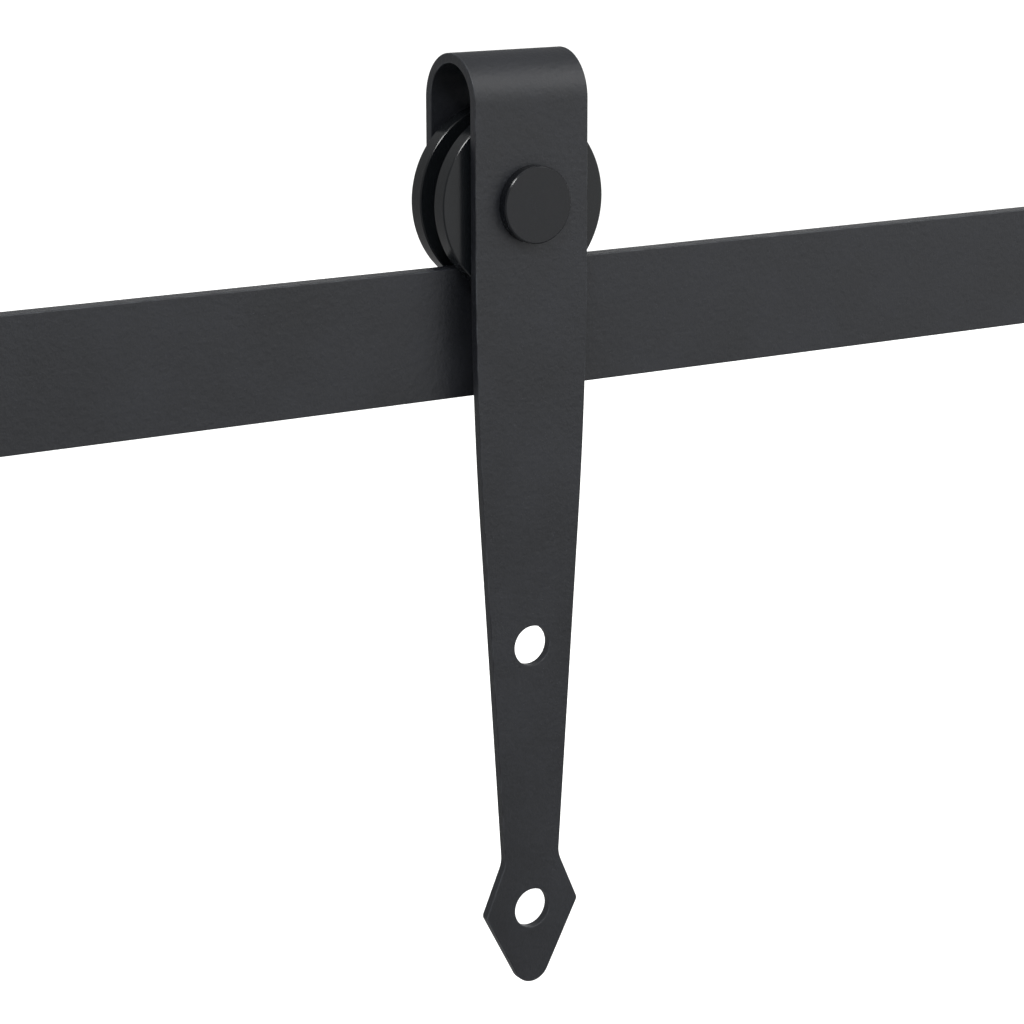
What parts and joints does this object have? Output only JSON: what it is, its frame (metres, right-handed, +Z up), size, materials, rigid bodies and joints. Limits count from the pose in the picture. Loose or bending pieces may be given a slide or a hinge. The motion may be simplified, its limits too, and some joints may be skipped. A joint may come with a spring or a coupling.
{
  "type": "sliding barn door hardware",
  "caption": "Bent-strap door hanger with a grooved wheel on ball bearings, riding a wall-mounted flat rail with spacers, lag bolts and rubber end stops.",
  "frame": {"origin": "on the wall's surface, behind the middle of the rail's length and height", "axes": "+X along the rail, to the right for somebody facing the wall; +Y into the wall; +Z up"},
  "size_m": [0.6, 0.1131, 0.2977],
  "materials": {
    "powder_coat": "dark grey satin powder coat on steel",
    "black_nylon": "turned black nylon, satin",
    "black_steel": "black oxide, satin",
    "zinc_steel": "bright zinc plate",
    "bearing_steel": "ground and polished bearing steel",
    "seal_rubber": "moulded nitrile, matt",
    "bumper_rubber": "moulded rubber, matt",
    "pale_nylon": "natural nylon",
    "cage_polymer": "moulded glass-filled nylon"
  },
  "bodies": {
    "rail": {"rail": "powder_coat", "left_spacer": "powder_coat", "left_washer": "black_steel", "left_lag_bolt": "black_steel", "left_stop_block": "powder_coat", "left_stop_left_grub_screw": "black_steel", "left_stop_right_grub_screw": "black_steel", "left_stop_bumper": "bumper_rubber", "left_bumper_screw": "black_steel", "right_spacer": "powder_coat", "right_washer": "black_steel", "right_lag_bolt": "black_steel", "right_stop_block": "powder_coat", "right_stop_left_grub_screw": "black_steel", "right_stop_right_grub_screw": "black_steel", "right_stop_bumper": "bumper_rubber", "right_bumper_screw": "black_steel"},
    "axle": {"axle_bolt": "powder_coat", "front_sleeve": "zinc_steel", "back_sleeve": "zinc_steel", "axle_washer": "black_steel", "lock_nut": "black_steel", "lock_nut_insert": "pale_nylon", "front_inner_race": "bearing_steel", "back_inner_race": "bearing_steel"},
    "strap": {"strap": "powder_coat"},
    "wheel": {"wheel": "black_nylon", "retaining_ring": "black_steel", "front_outer_race": "bearing_steel", "back_outer_race": "bearing_steel", "front_bearing_front_seal": "seal_rubber", "front_bearing_back_seal": "seal_rubber", "back_bearing_front_seal": "seal_rubber", "back_bearing_back_seal": "seal_rubber"},
    "front_ball_train": {"front_cage": "cage_polymer", "front_ball_1": "bearing_steel", "front_ball_2": "bearing_steel", "front_ball_3": "bearing_steel", "front_ball_4": "bearing_steel", "front_ball_5": "bearing_steel", "front_ball_6": "bearing_steel", "front_ball_7": "bearing_steel"},
    "back_ball_train": {"back_cage": "cage_polymer", "back_ball_1": "bearing_steel", "back_ball_2": "bearing_steel", "back_ball_3": "bearing_steel", "back_ball_4": "bearing_steel", "back_ball_5": "bearing_steel", "back_ball_6": "bearing_steel", "back_ball_7": "bearing_steel"}
  },
  "joints": [
    {"name": "hanger_slide", "type": "slide", "parent": "rail", "child": "axle", "axis": [1, 0, 0], "range_m": [-0.225, 0.225]},
    {"name": "strap_swing", "type": "hinge", "parent": "axle", "child": "strap", "pos_m": [0, -0.039, 0.0395], "axis": [0, 1, 0], "range_deg": [-40, 40]},
    {"name": "wheel_spin", "type": "hinge", "parent": "axle", "child": "wheel", "pos_m": [0, -0.039, 0.0395], "axis": [0, 1, 0], "continuous": true},
    {"name": "front_cage_spin", "type": "hinge", "parent": "axle", "child": "front_ball_train", "pos_m": [0, -0.04303, 0.0395], "axis": [0, 1, 0], "continuous": true},
    {"name": "back_cage_spin", "type": "hinge", "parent": "axle", "child": "back_ball_train", "pos_m": [0, -0.03497, 0.0395], "axis": [0, 1, 0], "continuous": true}
  ],
  "couplings": [
    {"joint": "wheel_spin", "follows": "hanger_slide", "rad_per_m": 51.282},
    {"joint": "front_cage_spin", "follows": "hanger_slide", "rad_per_m": 32.422},
    {"joint": "back_cage_spin", "follows": "hanger_slide", "rad_per_m": 32.422}
  ]
}
